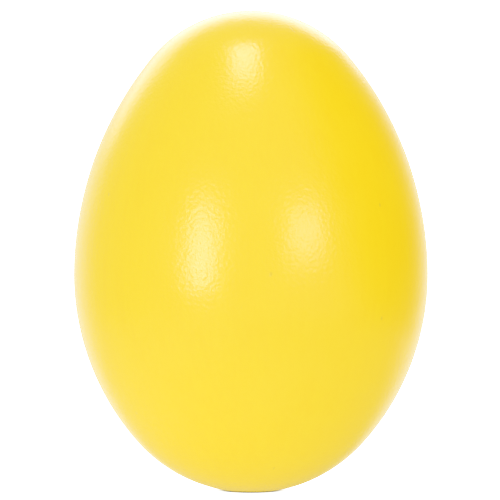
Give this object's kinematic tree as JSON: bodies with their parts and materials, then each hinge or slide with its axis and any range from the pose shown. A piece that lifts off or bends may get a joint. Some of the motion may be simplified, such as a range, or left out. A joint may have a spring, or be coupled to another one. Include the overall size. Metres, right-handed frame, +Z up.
{
  "type": "egg shaker",
  "caption": "Egg-shaped hand shaker: turned wooden egg, painted satin yellow, with loose steel shot sealed in a drilled chamber; stands on a small flat at its blunt end.",
  "frame": {"origin": "centre of the flat foot at the blunt end, on the surface the egg stands on", "axes": "+Z up along the egg's axis from the foot to the narrow tip; the egg is round about Z, so +X and +Y are free choices"},
  "size_m": [0.0472, 0.0472, 0.064],
  "materials": {
    "painted_wood": "satin yellow paint over turned hardwood, with a fine orange-peel ripple; bare wood inside",
    "steel_shot": "polished steel balls, dulled by rubbing against each other"
  },
  "bodies": {
    "egg": {"shell": "painted_wood", "base_plug": "painted_wood"},
    "shot_01": {"shot_01": "steel_shot"},
    "shot_02": {"shot_02": "steel_shot"},
    "shot_03": {"shot_03": "steel_shot"},
    "shot_04": {"shot_04": "steel_shot"},
    "shot_05": {"shot_05": "steel_shot"},
    "shot_06": {"shot_06": "steel_shot"},
    "shot_07": {"shot_07": "steel_shot"},
    "shot_08": {"shot_08": "steel_shot"},
    "shot_09": {"shot_09": "steel_shot"},
    "shot_10": {"shot_10": "steel_shot"},
    "shot_11": {"shot_11": "steel_shot"},
    "shot_12": {"shot_12": "steel_shot"},
    "shot_13": {"shot_13": "steel_shot"},
    "shot_14": {"shot_14": "steel_shot"},
    "shot_15": {"shot_15": "steel_shot"},
    "shot_16": {"shot_16": "steel_shot"},
    "shot_17": {"shot_17": "steel_shot"},
    "shot_18": {"shot_18": "steel_shot"},
    "shot_19": {"shot_19": "steel_shot"},
    "shot_20": {"shot_20": "steel_shot"},
    "shot_21": {"shot_21": "steel_shot"},
    "shot_22": {"shot_22": "steel_shot"},
    "shot_23": {"shot_23": "steel_shot"},
    "shot_24": {"shot_24": "steel_shot"},
    "shot_25": {"shot_25": "steel_shot"},
    "shot_26": {"shot_26": "steel_shot"},
    "shot_27": {"shot_27": "steel_shot"},
    "shot_28": {"shot_28": "steel_shot"},
    "shot_29": {"shot_29": "steel_shot"},
    "shot_30": {"shot_30": "steel_shot"},
    "shot_31": {"shot_31": "steel_shot"},
    "shot_32": {"shot_32": "steel_shot"},
    "shot_33": {"shot_33": "steel_shot"},
    "shot_34": {"shot_34": "steel_shot"},
    "shot_35": {"shot_35": "steel_shot"},
    "shot_36": {"shot_36": "steel_shot"},
    "shot_37": {"shot_37": "steel_shot"}
  },
  "joints": [
    {"name": "shot_01_slide", "type": "slide", "parent": "egg", "child": "shot_01", "axis": [0, 0, 1], "range_m": [0, 0.03725]},
    {"name": "shot_02_slide", "type": "slide", "parent": "egg", "child": "shot_02", "axis": [0, 0, 1], "range_m": [0, 0.03725]},
    {"name": "shot_03_slide", "type": "slide", "parent": "egg", "child": "shot_03", "axis": [0, 0, 1], "range_m": [0, 0.03725]},
    {"name": "shot_04_slide", "type": "slide", "parent": "egg", "child": "shot_04", "axis": [0, 0, 1], "range_m": [0, 0.03725]},
    {"name": "shot_05_slide", "type": "slide", "parent": "egg", "child": "shot_05", "axis": [0, 0, 1], "range_m": [0, 0.03725]},
    {"name": "shot_06_slide", "type": "slide", "parent": "egg", "child": "shot_06", "axis": [0, 0, 1], "range_m": [0, 0.03725]},
    {"name": "shot_07_slide", "type": "slide", "parent": "egg", "child": "shot_07", "axis": [0, 0, 1], "range_m": [0, 0.03725]},
    {"name": "shot_08_slide", "type": "slide", "parent": "egg", "child": "shot_08", "axis": [0, 0, 1], "range_m": [0, 0.03725]},
    {"name": "shot_09_slide", "type": "slide", "parent": "egg", "child": "shot_09", "axis": [0, 0, 1], "range_m": [0, 0.03725]},
    {"name": "shot_10_slide", "type": "slide", "parent": "egg", "child": "shot_10", "axis": [0, 0, 1], "range_m": [0, 0.03725]},
    {"name": "shot_11_slide", "type": "slide", "parent": "egg", "child": "shot_11", "axis": [0, 0, 1], "range_m": [0, 0.03725]},
    {"name": "shot_12_slide", "type": "slide", "parent": "egg", "child": "shot_12", "axis": [0, 0, 1], "range_m": [0, 0.03725]},
    {"name": "shot_13_slide", "type": "slide", "parent": "egg", "child": "shot_13", "axis": [0, 0, 1], "range_m": [0, 0.03725]},
    {"name": "shot_14_slide", "type": "slide", "parent": "egg", "child": "shot_14", "axis": [0, 0, 1], "range_m": [0, 0.03725]},
    {"name": "shot_15_slide", "type": "slide", "parent": "egg", "child": "shot_15", "axis": [0, 0, 1], "range_m": [0, 0.03725]},
    {"name": "shot_16_slide", "type": "slide", "parent": "egg", "child": "shot_16", "axis": [0, 0, 1], "range_m": [0, 0.03725]},
    {"name": "shot_17_slide", "type": "slide", "parent": "egg", "child": "shot_17", "axis": [0, 0, 1], "range_m": [0, 0.03725]},
    {"name": "shot_18_slide", "type": "slide", "parent": "egg", "child": "shot_18", "axis": [0, 0, 1], "range_m": [0, 0.03725]},
    {"name": "shot_19_slide", "type": "slide", "parent": "egg", "child": "shot_19", "axis": [0, 0, 1], "range_m": [0, 0.03725]},
    {"name": "shot_20_slide", "type": "slide", "parent": "egg", "child": "shot_20", "axis": [0, 0, 1], "range_m": [0, 0.03725]},
    {"name": "shot_21_slide", "type": "slide", "parent": "egg", "child": "shot_21", "axis": [0, 0, 1], "range_m": [0, 0.03725]},
    {"name": "shot_22_slide", "type": "slide", "parent": "egg", "child": "shot_22", "axis": [0, 0, 1], "range_m": [0, 0.03725]},
    {"name": "shot_23_slide", "type": "slide", "parent": "egg", "child": "shot_23", "axis": [0, 0, 1], "range_m": [0, 0.03725]},
    {"name": "shot_24_slide", "type": "slide", "parent": "egg", "child": "shot_24", "axis": [0, 0, 1], "range_m": [0, 0.03725]},
    {"name": "shot_25_slide", "type": "slide", "parent": "egg", "child": "shot_25", "axis": [0, 0, 1], "range_m": [0, 0.03725]},
    {"name": "shot_26_slide", "type": "slide", "parent": "egg", "child": "shot_26", "axis": [0, 0, 1], "range_m": [0, 0.03725]},
    {"name": "shot_27_slide", "type": "slide", "parent": "egg", "child": "shot_27", "axis": [0, 0, 1], "range_m": [0, 0.03725]},
    {"name": "shot_28_slide", "type": "slide", "parent": "egg", "child": "shot_28", "axis": [0, 0, 1], "range_m": [0, 0.03725]},
    {"name": "shot_29_slide", "type": "slide", "parent": "egg", "child": "shot_29", "axis": [0, 0, 1], "range_m": [0, 0.03725]},
    {"name": "shot_30_slide", "type": "slide", "parent": "egg", "child": "shot_30", "axis": [0, 0, 1], "range_m": [0, 0.03725]},
    {"name": "shot_31_slide", "type": "slide", "parent": "egg", "child": "shot_31", "axis": [0, 0, 1], "range_m": [0, 0.03725]},
    {"name": "shot_32_slide", "type": "slide", "parent": "egg", "child": "shot_32", "axis": [0, 0, 1], "range_m": [0, 0.03725]},
    {"name": "shot_33_slide", "type": "slide", "parent": "egg", "child": "shot_33", "axis": [0, 0, 1], "range_m": [0, 0.03725]},
    {"name": "shot_34_slide", "type": "slide", "parent": "egg", "child": "shot_34", "axis": [0, 0, 1], "range_m": [0, 0.03725]},
    {"name": "shot_35_slide", "type": "slide", "parent": "egg", "child": "shot_35", "axis": [0, 0, 1], "range_m": [0, 0.03725]},
    {"name": "shot_36_slide", "type": "slide", "parent": "egg", "child": "shot_36", "axis": [0, 0, 1], "range_m": [0, 0.03725]},
    {"name": "shot_37_slide", "type": "slide", "parent": "egg", "child": "shot_37", "axis": [0, 0, 1], "range_m": [0, 0.03725]}
  ]
}
